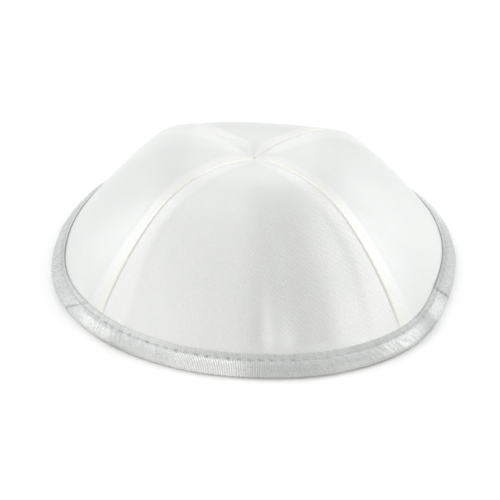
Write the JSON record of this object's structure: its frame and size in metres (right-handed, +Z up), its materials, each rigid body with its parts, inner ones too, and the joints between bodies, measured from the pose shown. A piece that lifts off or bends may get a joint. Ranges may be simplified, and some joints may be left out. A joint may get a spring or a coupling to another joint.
{
  "type": "kippah skullcap",
  "caption": "Shallow round skullcap of sewn satin gores with a folded tape binding round its rim, open below for the head.",
  "frame": {"origin": "on the surface that the rim rests on, under the middle of the cap's outline", "axes": "+Z up through the crown, front of the cap towards -Y, the cap's panel_right towards +X"},
  "size_m": [0.186, 0.1812, 0.0521],
  "materials": {
    "panel_satin": "white polyester satin, soft sheen, fine diagonal weave",
    "binding_satin": "silver-grey satin tape with fine ribs across it, brighter sheen"
  },
  "bodies": {
    "root": {"panel_front": "panel_satin", "panel_right": "panel_satin", "panel_back": "panel_satin", "panel_left": "panel_satin", "rim_binding": "binding_satin"}
  },
  "joints": []
}
